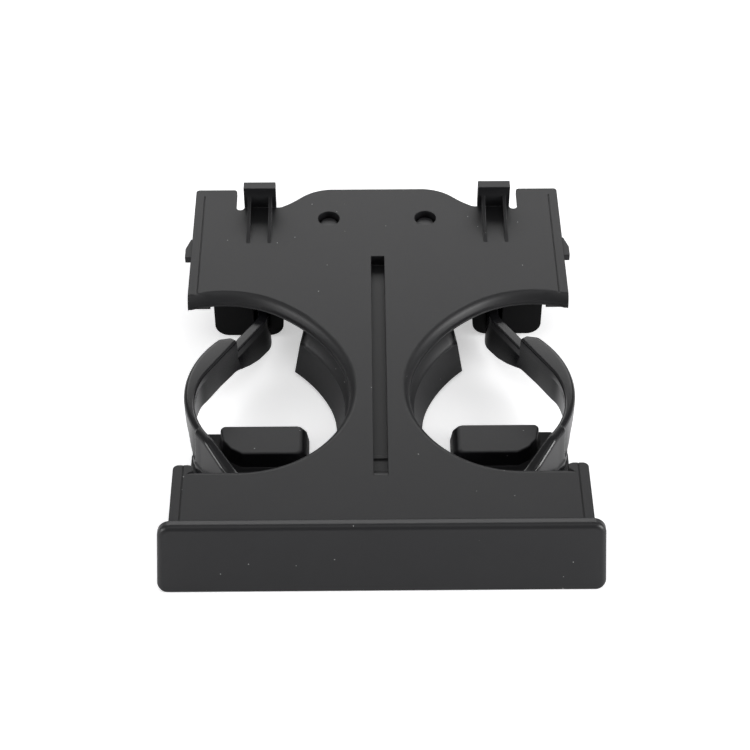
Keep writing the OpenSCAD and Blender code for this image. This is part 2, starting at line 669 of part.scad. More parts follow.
// Cup rest: a low base under the front of the tray, with the grained pad on it
pad_x0 = cup_x - 14;
pad_y0 = cup_y - pad_l;
pad_corner = 12;
module pad_layer(inset, z) {
  translate([0, 0, z]) linear_extrude(0.05) hull() {
    translate([pad_x0 + inset, pad_y0 + inset]) square([4, pad_l - 2 * inset]);
    translate([pad_x0 + pad_w - 4 - inset, cup_y - 4 - inset]) square(4);
    translate([pad_x0 + pad_w - pad_corner, pad_y0 + pad_corner]) circle(pad_corner - inset, $fn = 32);
  }
}
module cup_rest() {
  difference() {
    union() {
      upright(foot_gap, rest_top) polygon([
        [rest_bosses[0][0] - 6, 5], [half_w - 6, 5], [half_w - 4.5, 30], [half_w - 4.5, cup_y - 11],
        [half_w - 11, cup_y + 3], [pad_x0 - 1, cup_y + 3], [pad_x0 - 1, 46], [rest_bosses[0][0] - 6, 40]]);
      hull() {
        pad_layer(-1, rest_top - 0.1);
        pad_layer(0, rest_top + pad_h - 1.4);
        pad_layer(1, rest_top + pad_h - 0.05);
      }
      posts(rest_bosses, foot_gap);
      // Peg that the arm's tip rests against
      translate([peg[0], peg[1], rest_top - 0.5]) cylinder(d = peg_d, h = 9, $fn = small);
    }
    wells(rest_bosses);
  }
}
peg_d = 4;
peg_back = 5;              // distance of the peg from the arm's tip, along the arm
peg = turned(front_a, [arm_r - peg_d / 2 - 0.3, peg_back - arm_front_len]);
module left_cup_rest() { color("#29292b") placed() sided("left") cup_rest(); }
module right_cup_rest() { color("#29292b") placed() sided("right") cup_rest(); }
module left_rest_screws() { color("#6a6a6c") placed() sided("left") screws_up(rest_bosses); }
module right_rest_screws() { color("#6a6a6c") placed() sided("right") screws_up(rest_bosses); }

// Plug in a rear hole
plug_d = hole_d - 2.8;
plug_drop = 3.2;           // depth of a plug below the top of the plate
module rear_plug() {
  translate([hole_pitch / 2, tray_len - hole_back, plate_top - hole_deep])
    cylinder(d = plug_d, h = hole_deep - plug_drop, $fn = small);
}
hole_deep = 5.2;
module hole_cup() {
  translate([hole_pitch / 2, tray_len - hole_back, plate_top - hole_deep - 1.6])
    cylinder(d = hole_d + 3.6, h = hole_deep + 1.6 - plate_t + 0.5, $fn = small);
}
module hole_cut() {
  translate([hole_pitch / 2, tray_len - hole_back, plate_top - hole_deep])
    cylinder(d = hole_d, h = big, $fn = small);
}
module left_rear_plug() { color("#5a5a5c") placed() sided("left") rear_plug(); }
module right_rear_plug() { color("#5a5a5c") placed() sided("right") rear_plug(); }

tray();
front_panel();
panel_screws();
left_arm();
right_arm();
left_pivot_pin();
right_pivot_pin();
left_arm_spring();
right_arm_spring();
left_pivot_cover();
right_pivot_cover();
left_cover_screws();
right_cover_screws();
left_liner();
right_liner();
left_liner_screws();
right_liner_screws();
left_cup_rest();
right_cup_rest();
left_rest_screws();
right_rest_screws();
left_rear_plug();
right_rear_plug();
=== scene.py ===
"""Pull-out twin cup holder: the looks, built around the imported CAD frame."""

import json
import math

import bmesh
import bpy
import numpy as np
from bpy.props import FloatProperty, FloatVectorProperty, PointerProperty, StringProperty
from bpy.types import Operator, Panel, PropertyGroup
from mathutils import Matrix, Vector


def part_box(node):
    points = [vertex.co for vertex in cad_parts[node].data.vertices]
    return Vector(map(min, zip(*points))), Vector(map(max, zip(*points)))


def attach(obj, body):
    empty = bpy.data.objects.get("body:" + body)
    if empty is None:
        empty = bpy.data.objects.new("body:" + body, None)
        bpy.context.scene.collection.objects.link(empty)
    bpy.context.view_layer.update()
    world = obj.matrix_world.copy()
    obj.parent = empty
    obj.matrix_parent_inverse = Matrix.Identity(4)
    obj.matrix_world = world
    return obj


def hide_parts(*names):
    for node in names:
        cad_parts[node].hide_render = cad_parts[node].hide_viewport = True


bl_info = {
    "name": "Pull-out cup holder",
    "version": (1, 0, 0),
    "blender": (4, 5, 0),
    "location": "View3D > Sidebar > Cup holder",
    "description": "Dresses the packed cup holder with moulded plastic and steel, and sets its studio",
    "category": "Object",
}

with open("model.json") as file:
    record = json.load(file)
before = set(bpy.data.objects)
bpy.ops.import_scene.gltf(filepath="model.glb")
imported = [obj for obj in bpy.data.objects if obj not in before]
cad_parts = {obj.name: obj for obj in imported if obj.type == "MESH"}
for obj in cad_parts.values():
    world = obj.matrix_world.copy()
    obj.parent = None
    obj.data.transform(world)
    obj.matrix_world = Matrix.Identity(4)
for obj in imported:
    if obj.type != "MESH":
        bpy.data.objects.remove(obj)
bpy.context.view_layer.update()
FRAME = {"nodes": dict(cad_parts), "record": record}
MM = 0.001
BEHAVIOUR = FRAME["record"]["behaviour"]
BODY_OF = {node: body for body, nodes in BEHAVIOUR["bodies"].items() for node in nodes}
SLOT_OF = {part["node"]: part["material_slot"] for part in FRAME["record"]["subparts"]}

# Nodes that get a piece of their own. Each of the others gets a smoothed copy of its mesh
SHAPED = (
    "front_panel", "left_arm", "right_arm", "left_arm_spring", "right_arm_spring",
    "left_cup_rest", "right_cup_rest",
)

# The material for each slot of the record
FINISH_OF = {
    "tray_plastic": "abs_moulded_tray",
    "panel_plastic": "abs_moulded_panel",
    "arm_plastic": "abs_moulded_arm",
    "rest_plastic": "abs_grained_rest",
    # The covers' finish is their black plastic deepened by painted shade
    "cover_plastic": "abs_moulded_cover",
    "plug_plastic": "acetal_moulded_plug",
    "pin_steel": "steel_ground_pin",
    "spring_steel": "steel_drawn_wire",
    "screw_steel": "steel_zinc_plated",
}

# What the places on the object are measured from: the right pivot, the middle of the right cup, the top of
# the tray's plate, which the rear hooks rise above by their height, and the tray's front line. The table
# is at height 0
PIVOT = next(joint["pos_m"] for joint in BEHAVIOUR["joints"] if joint["name"] == "right_arm_swing")
CUP = np.array(PIVOT[:2]) + (-6.5 * MM, -80 * MM)
HOOK_HEIGHT = 12.5 * MM
PLATE_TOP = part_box("tray")[1][2] - HOOK_HEIGHT
FRONT = PIVOT[1] - 157 * MM


class StudioSettings(PropertyGroup):
    """Camera, floor and lamps."""

    lens: FloatProperty(
        name="Lens", description="Focal length on a 36 mm sensor", default=94.08, unit="CAMERA"
    )
    tilt: FloatProperty(
        name="Tilt", description="How far the camera looks down", default=math.radians(45), subtype="ANGLE"
    )
    turn: FloatProperty(
        name="Turn", description="How far the camera is turned to the right",
        default=math.radians(0.54), subtype="ANGLE"
    )
    camera_place: FloatVectorProperty(
        name="Camera place", description="Where the camera stands",
        default=(-0.0082, -0.6653, 0.6822), subtype="TRANSLATION"
    )
    floor_colour: StringProperty(
        name="Floor colour", description="sRGB hex value of the floor", default="#FBFBFC"
    )
    floor_lift: FloatProperty(
        name="Floor lift", description="Light that the camera sees added to the floor", default=0.47
    )
    key_power: FloatProperty(
        name="Rear softbox", description="Power of the softbox behind the holder", default=6.2, unit="POWER"
    )
    fill_power: FloatProperty(
        name="Top softbox", description="Power of the softbox above the front", default=2.6, unit="POWER"
    )
    left_power: FloatProperty(
        name="Left softbox", description="Power of the softbox at the left", default=5.0, unit="POWER"
    )
    right_power: FloatProperty(
        name="Right softbox", description="Power of the softbox at the right", default=9.0, unit="POWER"
    )
    sky: FloatProperty(name="Sky", description="Strength of the even light from all round", default=0.30)


class FinishSettings(PropertyGroup):
    """Colours of the plastics and metals as sRGB hex values, and the rounding of edges."""

    tray_colour: StringProperty(name="Tray", description="Colour of the tray's plastic", default="#171719")
    panel_colour: StringProperty(
        name="Front panel", description="Colour of the front panel", default="#1D1D1F"
    )
    arm_colour: StringProperty(name="Arms", description="Colour of the arms", default="#121214")
    rest_colour: StringProperty(name="Cup rests", description="Colour of the cup rests", default="#151518")
    # The pivot covers' black is deepened to near black as painted shade, for where they stand under the
    # plate
    cover_black_and_shade: StringProperty(
        name="Pivot covers", description="Colour of the pivot covers", default="#080809"
    )
    plug_colour: StringProperty(
        name="Rear plugs", description="Colour of the rear plugs", default="#2A2A2C"
    )
    steel_colour: StringProperty(
        name="Steel", description="Colour of the pins and springs", default="#B9BABC"
    )
    zinc_colour: StringProperty(
        name="Zinc", description="Colour of the zinc-plated screws", default="#9EA1A3"
    )
    edge_round: FloatProperty(
        name="Edge rounding", description="Radius of moulded edges", default=0.6 * MM, unit="LENGTH"
    )
    panel_rim: FloatProperty(
        name="Panel rim", description="Rounding of the front panel's rim", default=2.6 * MM, unit="LENGTH"
    )
    lip: FloatProperty(
        name="Rim lip", description="Radius of the lip under a ring's rim", default=0.5 * MM, unit="LENGTH"
    )


class ArmSettings(PropertyGroup):
    """Form of the sprung arms."""

    ring_radius: FloatProperty(
        name="Ring radius", description="Radius inside an arm's curve", default=36 * MM, unit="LENGTH"
    )
    band_width: FloatProperty(
        name="Band width", description="Width of the band at its narrowest",
        default=5.4 * MM, unit="LENGTH"
    )
    wall: FloatProperty(
        name="Wall", description="Wall of an arm below its band", default=2.6 * MM, unit="LENGTH"
    )
    neck_width: FloatProperty(
        name="Neck width", description="Thickness of an arm's neck", default=5 * MM, unit="LENGTH"
    )
    bend_radius: FloatProperty(
        name="Bend radius", description="Radius inside the neck's bend", default=14 * MM, unit="LENGTH"
    )
    hub_radius: FloatProperty(
        name="Hub radius", description="Radius of an arm's hub", default=6.5 * MM, unit="LENGTH"
    )
    bore_radius: FloatProperty(
        name="Bore radius", description="Radius of the hub's bore", default=2.05 * MM, unit="LENGTH"
    )
    step: FloatProperty(
        name="Ring spacing", description="Distance between the rings of an arm",
        default=0.5 * MM, unit="LENGTH"
    )


def linear(hex_colour):
    """sRGB hex value to linear RGBA: below 0.04045 divide by 12.92, else ((c + 0.055) / 1.055) ** 2.4."""
    channels = np.array([int(hex_colour[i:i + 2], 16) for i in (1, 3, 5)]) / 255
    low = channels / 12.92
    high = ((channels + 0.055) / 1.055) ** 2.4
    return (*np.where(channels <= 0.04045, low, high), 1.0)


def add_node(tree, kind, settings=None, **links):
    """Adds one node. settings maps an attribute or input to a value, and links an input to a socket."""
    node = tree.nodes.new(kind)
    for name, value in (settings or {}).items():
        if isinstance(name, int) or name in node.inputs:
            node.inputs[name].default_value = value
        else:
            setattr(node, name, value)
    for name, socket in links.items():
        key = int(name[1:]) if name[0] == "_" and name[1:].isdigit() else name.replace("_", " ")
        tree.links.new(socket, node.inputs[key])
    return node


def moulded_plastic(name, colour, roughness, grain, grain_height, dust=0.0, gloss=0.5):
    """Moulded ABS: a dark, faintly mottled body under a fine eroded grain that breaks up the gloss.

    grain is the size of one grain in metres, dust the share of a pattern's cells that have pale lint in
    them, and gloss the strength of the mirror-like part. Edges look rounded by the edge setting.
    """
    material = bpy.data.materials.new(name)
    material.use_nodes = True
    tree = material.node_tree
    tree.nodes.clear()
    place = add_node(tree, "ShaderNodeTexCoord").outputs["Object"]
    # A real eroded grain is too fine to show in the render, so it is drawn as coarse as it needs to show
    grains = add_node(
        tree, "ShaderNodeTexNoise", {"Scale": 1 / grain, "Detail": 3.0, "Roughness": 0.62}, Vector=place
    )
    # Flow of the melt: clouds about 22 mm across, a shade darker or lighter
    cloud = add_node(tree, "ShaderNodeTexNoise", {"Scale": 1 / (22 * MM), "Detail": 4.0}, Vector=place)
    shade = add_node(
        tree, "ShaderNodeMapRange", {"To Min": 0.86, "To Max": 1.16}, Value=cloud.outputs["Fac"]
    )
    body = add_node(tree, "ShaderNodeMix", {"data_type": "RGBA", "blend_type": "MULTIPLY", "Factor": 1.0})
    body.inputs[6].default_value = linear(colour)
    tree.links.new(shade.outputs["Result"], body.inputs[7])
    base = body.outputs[2]
    rough = add_node(
        tree, "ShaderNodeMapRange",
        {"To Min": roughness - 0.07, "To Max": roughness + 0.09}, Value=grains.outputs["Fac"]
    ).outputs["Result"]
    if dust:
        # Lint and dust: a few pale dots up to 0.5 mm across, kept to some cells of a 4.2 mm pattern
        cells = add_node(tree, "ShaderNodeTexVoronoi", {"Scale": 1 / (4.2 * MM)}, Vector=place)
        near = add_node(
            tree, "ShaderNodeMath", {"operation": "LESS_THAN", 1: 0.06}, _0=cells.outputs["Distance"]
        )
        pick = add_node(tree, "ShaderNodeSeparateColor", Color=cells.outputs["Color"])
        chosen = add_node(
            tree, "ShaderNodeMath", {"operation": "LESS_THAN", 1: dust}, _0=pick.outputs["Red"]
        )
        lint = add_node(
            tree, "ShaderNodeMath", {"operation": "MULTIPLY"}, _0=near.outputs[0], _1=chosen.outputs[0]
        )
        dusty = add_node(tree, "ShaderNodeMix", {"data_type": "RGBA"}, Factor=lint.outputs[0])
        tree.links.new(base, dusty.inputs[6])
        dusty.inputs[7].default_value = linear("#A2A2A2")
        base = dusty.outputs[2]
    edges = add_node(
        tree, "ShaderNodeBevel", {"samples": 6, "Radius": bpy.context.scene.holder_finish.edge_round}
    )
    bump = add_node(
        tree, "ShaderNodeBump", {"Strength": 1.0, "Distance": grain_height},
        Height=grains.outputs["Fac"], Normal=edges.outputs["Normal"]
    )
    shader = add_node(
        tree, "ShaderNodeBsdfPrincipled", {"IOR": 1.54, "Specular IOR Level": gloss},
        Base_Color=base, Roughness=rough, Normal=bump.outputs["Normal"]
    )
    add_node(tree, "ShaderNodeOutputMaterial", Surface=shader.outputs["BSDF"])


def drawn_metal(name, colour, roughness, streak):
    """Drawn or turned steel: fine streaks along Z, streak metres apart, in the gloss and the height."""
    material = bpy.data.materials.new(name)
    material.use_nodes = True
    tree = material.node_tree
    tree.nodes.clear()
    place = add_node(tree, "ShaderNodeTexCoord").outputs["Object"]
    # Real streaks are too fine to show in the render, so they are drawn as coarse as they need to show
    stretched = add_node(tree, "ShaderNodeMapping", {"Scale": (1.0, 1.0, 0.08)}, Vector=place)
    streaks = add_node(
        tree, "ShaderNodeTexNoise", {"Scale": 1 / streak, "Detail": 2.0}, Vector=stretched.outputs["Vector"]
    )
    rough = add_node(
        tree, "ShaderNodeMapRange",
        {"To Min": roughness - 0.08, "To Max": roughness + 0.1}, Value=streaks.outputs["Fac"]
    )
    tone = add_node(
        tree, "ShaderNodeMapRange", {"To Min": 0.82, "To Max": 1.05}, Value=streaks.outputs["Fac"]
    )
    body = add_node(tree, "ShaderNodeMix", {"data_type": "RGBA", "blend_type": "MULTIPLY", "Factor": 1.0})
    body.inputs[6].default_value = linear(colour)
    tree.links.new(tone.outputs["Result"], body.inputs[7])
    bump = add_node(
        tree, "ShaderNodeBump", {"Strength": 0.6, "Distance": 0.01 * MM}, Height=streaks.outputs["Fac"]
    )
    shader = add_node(
        tree, "ShaderNodeBsdfPrincipled", {"Metallic": 1.0},
        Base_Color=body.outputs[2], Roughness=rough.outputs["Result"], Normal=bump.outputs["Normal"]
    )
    add_node(tree, "ShaderNodeOutputMaterial", Surface=shader.outputs["BSDF"])


def finishes():
    """The material for each slot of the record. All of them are made at the first call."""
    look = bpy.context.scene.holder_finish
    if FINISH_OF["tray_plastic"] not in bpy.data.materials:
        # ABS off an eroded mould: black, with a broad soft sheen and some lint on it
        moulded_plastic("abs_moulded_tray", look.tray_colour, 0.46, 0.45 * MM, 0.012 * MM, 0.12, 0.43)
        # ABS off a finer mould, for the side that is seen in the car: the sheen is a little tighter
        moulded_plastic("abs_moulded_panel", look.panel_colour, 0.36, 0.5 * MM, 0.010 * MM, 0.14, 0.38)
        # ABS off a nearly polished mould: narrow lights that run along the arm's curves
        moulded_plastic("abs_moulded_arm", look.arm_colour, 0.2, 0.5 * MM, 0.002 * MM, 0.03, 0.4)
        # ABS off a coarse eroded mould, so that a cup doesn't slip: the grain scatters the sheen
        moulded_plastic("abs_grained_rest", look.rest_colour, 0.42, 0.6 * MM, 0.03 * MM, 0.12, 0.45)
        # Black ABS of the pivot covers, darkened to near black and with its sheen cut to next to nothing as
        # painted shade, for where the covers stand under the plate
        moulded_plastic("abs_moulded_cover", look.cover_black_and_shade, 0.35, 0.5 * MM, 0.006 * MM, 0.02, 0.1)
        # Acetal straight from the mould: a shade greyer, with a waxy sheen
        moulded_plastic("acetal_moulded_plug", look.plug_colour, 0.42, 0.4 * MM, 0.006 * MM)
        # Ground steel pin: bright, with fine marks along it
        drawn_metal("steel_ground_pin", look.steel_colour, 0.28, 0.12 * MM)
        # Drawn spring wire: bright, and duller than the pin
        drawn_metal("steel_drawn_wire", look.steel_colour, 0.34, 0.1 * MM)
        # Zinc-plated screws: a soft bluish grey
        drawn_metal("steel_zinc_plated", look.zinc_colour, 0.4, 0.2 * MM)
    return {slot: bpy.data.materials[name] for slot, name in FINISH_OF.items()}


def put(mesh, node, stands_in=True):
    """Sets a mesh in the scene with a CAD node's body and finish.

    It stands for that node, or with stands_in off only adds to it.
    """
    piece = bpy.data.objects.new(mesh.name, mesh)
    bpy.context.scene.collection.objects.link(piece)
    piece.data.materials.clear()
    piece.data.materials.append(finishes()[SLOT_OF[node]])
    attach(piece, BODY_OF[node])
    if stands_in:
        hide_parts(node)
    return piece


def smooth(mesh, angle):
    """Smooth shading that breaks at edges sharper than angle, in degrees."""
    mesh.shade_smooth()
    mesh.set_sharp_from_angle(angle=math.radians(angle))


def grid_mesh(name, shells):
    """Joins closed shells, each an array of rings of points, into one mesh with outward quads.

    Point j of ring i meets point j + 1 and ring i + 1, and the last point meets the first. Each end is
    closed by one face, unless the last ring lies on the first.
    """
    points, faces, start = [], [], 0
    for shell in shells:
        rings, count = shell.shape[:2]
        i, j = np.meshgrid(np.arange(rings - 1), np.arange(count), indexing="ij")
        near, far = i * count, (i + 1) * count
        after = (j + 1) % count
        quads = np.stack([near + j, near + after, far + after, far + j], axis=-1).reshape(-1, 4) + start
        faces += quads.tolist()
        if not np.allclose(shell[0], shell[-1], atol=1e-7):
            end = np.arange(count) + start
            faces += [end[::-1].tolist(), (end + (rings - 1) * count).tolist()]
        points.append(shell.reshape(-1, 3))
        start += rings * count
    mesh = bpy.data.meshes.new(name)
    mesh.from_pydata(np.concatenate(points).tolist(), [], faces)
    work = bmesh.new()
    work.from_mesh(mesh)
    bmesh.ops.remove_doubles(work, verts=work.verts, dist=1e-7)
    bmesh.ops.recalc_face_normals(work, faces=work.faces)
    work.to_mesh(mesh)
    work.free()
    return mesh


def both_sides(node, shells, angle):
    """Makes the piece for right_node from the shells, and the one for left_node from their mirror image."""
    for side, sign in (("right_", 1), ("left_", -1)):
        mesh = grid_mesh(side + node + "_shaped", [shell * (sign, 1, 1) for shell in shells])
        smooth(mesh, angle)
        weigh(put(mesh, side + node))


def weigh(piece):
    """Lets large faces rule the normals, so that flats stay flat beside rounded edges."""
    finish = piece.modifiers.new("weigh", "WEIGHTED_NORMAL")
    finish.keep_sharp = True
    finish.weight = 100


def outline(centres, radius, count=9):
    """Rounded outline against the clock: at each corner an arc of the radius round its centre.

    The arc runs from the normal of the edge before the corner to the normal of the edge after it.
    """
    centres = np.array(centres, dtype=float)
    ahead = np.roll(centres, -1, axis=0) - centres
    after = np.arctan2(-ahead[:, 0], ahead[:, 1])
    before = np.roll(after, 1)
    angle = before[:, None] + ((after - before) % (2 * math.pi))[:, None] * np.linspace(0, 1, count)
    reach = np.broadcast_to(radius, len(centres))[:, None, None]
    return (centres[:, None, :] + reach * np.stack([np.cos(angle), np.sin(angle)], axis=2)).reshape(-1, 2)


def layers(rings, heights):
    """Stacks flat outlines: ring k lies at height k."""
    rings = np.array(rings)
    high = np.broadcast_to(np.array(heights)[:, None, None], (*rings.shape[:2], 1))
    return np.concatenate([rings, high], axis=2)


def turned(place, section, count=49):
    """A closed section of (radius, height) points carried once round a vertical axis at place."""
    radius, height = np.array(section).T
    angle = np.linspace(0, 2 * math.pi, count)[:, None]
    x, y = place[0] + radius * np.cos(angle), place[1] + radius * np.sin(angle)
    return np.stack([x, y, np.broadcast_to(height, x.shape)], axis=2)


def eased(table, station, blur=1):
    """Reads a table of (station, value) pairs at each station.

    With blur above 1 it then averages over that many rings, under a raised cosine, to ease the corners.
    """
    at, value = np.array(table).T
    exact = np.interp(station, at, value)
    if blur < 2:
        return exact
    window = np.hanning(blur + 2)[1:-1]
    padded = np.pad(exact, blur, mode="edge")
    return np.convolve(padded, window / window.sum(), mode="same")[blur:-blur]


class HOLDER_OT_nodes(Operator):
    """Give every CAD node its plastic or metal"""

    bl_idname = "holder.nodes"
    bl_label = "Finish the CAD nodes"

    def execute(self, context):
        made = finishes()
        for node, piece in FRAME["nodes"].items():
            piece.data.materials.clear()
            piece.data.materials.append(made[SLOT_OF[node]])
        return {"FINISHED"}


class HOLDER_OT_mouldings(Operator):
    """Turn the moulded nodes into merged copies with smooth curves and flat faces that stay flat"""

    bl_idname = "holder.mouldings"
    bl_label = "Smooth the mouldings"

    MERGE = 2e-6                 # points closer than this are one
    FLAT = math.radians(0.3)     # faces that turn less than this are one flat
    CREASE = 30                  # degrees, from which an edge stays sharp

    # Corners of the tray's outline as X, distance from the front line, and reach of the rounding, in mm
    CORNERS = (
        (93, 225, 1.7), (71.9, 225, 1.7), (27, 225, 3.6), (35, 222, 3.6), (43.5, 214.5, 2.6), (49, 211, 1.2),
        (93, 31.5, 0.9), (91.5, 33, 0.9), (85.5, 33, 0.9),
    )
    NEAR = 0.05 * MM             # how close to its corner an upright edge has to be

    def execute(self, context):
        for node in SLOT_OF:
            if node not in SHAPED:
                self.merged_copy(node)
        return {"FINISHED"}

    def merged_copy(self, node):
        """A copy of the node's mesh with its doubles merged and each flat made one face."""
        work = bmesh.new()
        work.from_mesh(FRAME["nodes"][node].data)
        bmesh.ops.remove_doubles(work, verts=work.verts, dist=self.MERGE)
        bmesh.ops.dissolve_limit(work, angle_limit=self.FLAT, verts=work.verts, edges=work.edges)
        if node == "tray":
            for x, y, reach in self.CORNERS:
                bmesh.ops.bevel(
                    work, geom=self.upright_edges(work, np.array([x * MM, FRONT + y * MM])),
                    offset=reach * MM, segments=5, profile=0.5, affect="EDGES", clamp_overlap=True
                )
        mesh = bpy.data.meshes.new(node + "_moulded")
        work.to_mesh(mesh)
        work.free()
        smooth(mesh, self.CREASE)
        weigh(put(mesh, node))

    def upright_edges(self, work, corner):
        """The upright edges at a corner of the outline, on both sides of the holder."""
        def at_corner(vert):
            return np.abs(np.array([abs(vert.co.x), vert.co.y]) - corner).max() < self.NEAR

        def same_side(edge):
            return abs(edge.verts[0].co.x - edge.verts[1].co.x) < 1e-6

        return [
            edge for edge in work.edges if all(at_corner(vert) for vert in edge.verts) and same_side(edge)
        ]


class HOLDER_OT_lips(Operator):
    """Run a fine lip along the foot of each ring's rolled rim"""

    bl_idname = "holder.lips"
    bl_label = "Run the rims' lips"

    # The rim runs straight in from the side, level with the first arc's start, and then along the arcs.
    # Each arc has its centre from the cup's middle and its radius, in mm, and its two angles in degrees
    SIDE, AHEAD = 84 * MM, 46 * MM
    ARCS = (((14, 4), 50, 270, 156), ((41.41, -8.2), 80, 156, 122), ((25.51, 17.24), 50, 122, 71))
    DROP = 6.5 * MM              # foot of the rolled rim below the plate's top
    IN, UP = 0.2, 0.65           # lip's middle into the rim's wall and above its foot, in lip radii

    def execute(self, context):
        thick = context.scene.holder_finish.lip
        places, outs = [np.array([(self.SIDE, CUP[1] - self.AHEAD)])], [np.array([(0.0, -1.0)])]
        for centre, radius, first, last in self.ARCS:
            angle = np.radians(np.linspace(first, last, 2 + abs(first - last)))
            out = np.stack([np.cos(angle), np.sin(angle)], axis=1)
            places.append(CUP + np.array(centre) * MM + radius * MM * out)
            outs.append(out)
        ring = self.carried(np.concatenate(places), np.concatenate(outs), thick)
        for name, sign in (("right_rim_lip", 1), ("left_rim_lip", -1)):
            mesh = grid_mesh(name, [ring * (sign, 1, 1)])
            smooth(mesh, 60)
            put(mesh, "tray", stands_in=False)
        return {"FINISHED"}

    def carried(self, path, out, thick, count=12):
        """A circle of radius thick carried along the path.

        Its point at angle a lies (IN + cos a) radii outward from the path, and (UP + sin a) radii above
        the rim's foot.
        """
        angle = np.arange(count) * 2 * math.pi / count
        offset = thick * (self.IN + np.cos(angle))
        high = PLATE_TOP - self.DROP + thick * (self.UP + np.sin(angle))
        flat = path[:, None, :] + offset[None, :, None] * out[:, None, :]
        return np.concatenate([flat, np.broadcast_to(high[None, :, None], (*flat.shape[:2], 1))], axis=2)


class HOLDER_OT_panel(Operator):
    """Shape the front panel, with its rounded rim"""

    bl_idname = "holder.panel"
    bl_label = "Shape the front panel"

    LEAN = math.radians(12)
    THICK, WALL = 5 * MM, 2.4 * MM
    RISE, BACK = 1.2 * MM, 0.8 * MM      # its top edge above the plate, and in front of the front line
    FOOT, HEAD = (95, 4.5), (92, 6)      # middle line to a corner's centre, and the corner's radius, in mm
    FOOT_SHARE = 0.6                     # part of the rim's rounding that the lower edge goes without
    BOSSES = (-66.96 * MM, 0.0, 66.96 * MM)
    BORE, BOSS = 1.45 * MM, 3.4 * MM     # radii of a boss
    WALL_FOOT, PLATE = 6 * MM, 2.4 * MM  # foot of the tray's front wall, and thickness of its plate

    def execute(self, context):
        rim = context.scene.holder_finish.panel_rim
        top = PLATE_TOP + self.RISE
        length = top / math.cos(self.LEAN) + self.THICK * math.tan(self.LEAN)
        (foot_x, foot_round), (head_x, head_round) = np.array([self.FOOT, self.HEAD]) * MM
        foot, head = foot_round - length, -head_round
        centres = [(foot_x, foot), (head_x, head), (-head_x, head), (-foot_x, foot)]
        reach = np.array([foot_round, head_round, head_round, foot_round])
        turn = np.linspace(0, math.pi / 2, 12)
        drawn = np.array([0, 0, 0, *rim * (1 - np.cos(turn))])
        inset = drawn + [self.WALL, self.WALL, *[0] * (len(drawn) - 2)]
        out = [self.THICK - self.WALL, 0, 0, *self.THICK - rim * (1 - np.sin(turn))]
        flat = layers([outline(centres, reach - step, 13) for step in inset], out)
        flat[..., 1] -= np.where(flat[..., 1] < -length / 2, self.FOOT_SHARE * drawn[:, None], 0)
        middle = (self.WALL_FOOT + PLATE_TOP - self.PLATE) / 2
        bosses = [self.boss(x, middle) for x in self.BOSSES]
        mesh = grid_mesh("front_panel_shaped", [self.lean(flat, top), *bosses])
        smooth(mesh, 40)
        weigh(put(mesh, "front_panel"))
        return {"FINISHED"}

    def lean(self, flat, top):
        """Stands the flat layers up and leans them back.

        For v up the face and w out of it, Y is less by w cos(lean) and more by v sin(lean), and Z is the
        top plus v cos(lean) plus w sin(lean). What would lie below the table is cut off level with it.
        """
        x, v, w = flat[..., 0], flat[..., 1], flat[..., 2]
        y = FRONT - self.BACK + v * math.sin(self.LEAN) - w * math.cos(self.LEAN)
        z = top + v * math.cos(self.LEAN) + w * math.sin(self.LEAN)
        return np.stack([x, y, np.maximum(z, 0)], axis=2)

    def boss(self, x, z):
        """A level screw boss from the panel to the tray's front wall, as a ring section turned round Y."""
        near = FRONT - self.THICK
        section = [(self.BORE, near), (self.BOSS, near), (self.BOSS, FRONT), (self.BORE, FRONT)]
        ring = turned((0, 0), section, 33)
        return np.stack([ring[..., 0] + x, ring[..., 2], ring[..., 1] + z], axis=2)


class HOLDER_OT_rests(Operator):
    """Shape the two cup rests, with their grained pads"""

    bl_idname = "holder.rests"
    bl_label = "Shape the cup rests"

    # Places in mm from the middle line and the front line
    BASE = ((37.5, 6.5), (85.6, 6.5), (87, 30), (87, 65.6), (81, 78.5), (36.5, 78.5))
    POSTS = ((42, 12), (80, 12))
    PEG = (75.82, 34.04)
    # Rounding and height of the base's layers, and radius and height round a post and the peg, in mm
    BASE_LAYERS = ((1.1, 1), (1.5, 1.4), (1.5, 3.4), (1.35, 3.8), (1.1, 4))
    POST_SECTION = ((3.2, 1), (4.2, 1), (4.2, 23.1), (1.6, 23.1), (1.6, 21.1), (3.2, 21.1))
    PEG_SECTION = ((0.01, 3.5), (2, 3.5), (2, 12.5), (0.01, 12.5))
    # The pad in mm: front and rear lines of its corners' centres, the outer ones, their radius, and its edge
    PAD_FRONT, PAD_REAR = 61.5, 74.4
    PAD_OUTER = ((63.6, PAD_FRONT), (68, 64.2), (71.2, 68.4), (72.4, PAD_REAR))
    PAD_CORNER, PAD_EDGE = 2.5, 0.9

    def execute(self, context):
        rounding, height = np.array(self.BASE_LAYERS).T * MM
        base = layers([outline(self.places(self.BASE), radius, 5) for radius in rounding], height)
        peg = turned(self.places([self.PEG])[0], np.array(self.PEG_SECTION) * MM)
        posts = [turned(place, np.array(self.POST_SECTION) * MM) for place in self.places(self.POSTS)]
        both_sides("cup_rest", [base, self.pad(), peg, *posts], 40)
        return {"FINISHED"}

    def places(self, points):
        """Points given in mm from the middle line and the front line."""
        return np.array(points) * MM + (0, FRONT)

    def pad(self):
        """The pad: its sides lean in, its top edge is rounded, and its inner side ends in a rounded slope.

        Layer k is the outline of six corners, with the inner side at inner k and the rounding less inset k.
        """
        turn = np.linspace(0, math.pi / 2, 6)
        inset = [-0.9, -0.1, *self.PAD_EDGE * (1 - np.cos(turn))]
        high = [3.9, 9.6, *12.5 - self.PAD_EDGE * (1 - np.sin(turn))]
        inner = [34.1, 34.3, *35.9 + 1.4 * np.sin(turn)]
        rings = []
        for step, x in zip(inset, inner):
            near = x + self.PAD_CORNER
            corners = [(near, self.PAD_FRONT), *self.PAD_OUTER, (near, self.PAD_REAR)]
            rings.append(outline(self.places(corners), (self.PAD_CORNER - step) * MM, 9))
        return layers(rings, np.array(high) * MM)


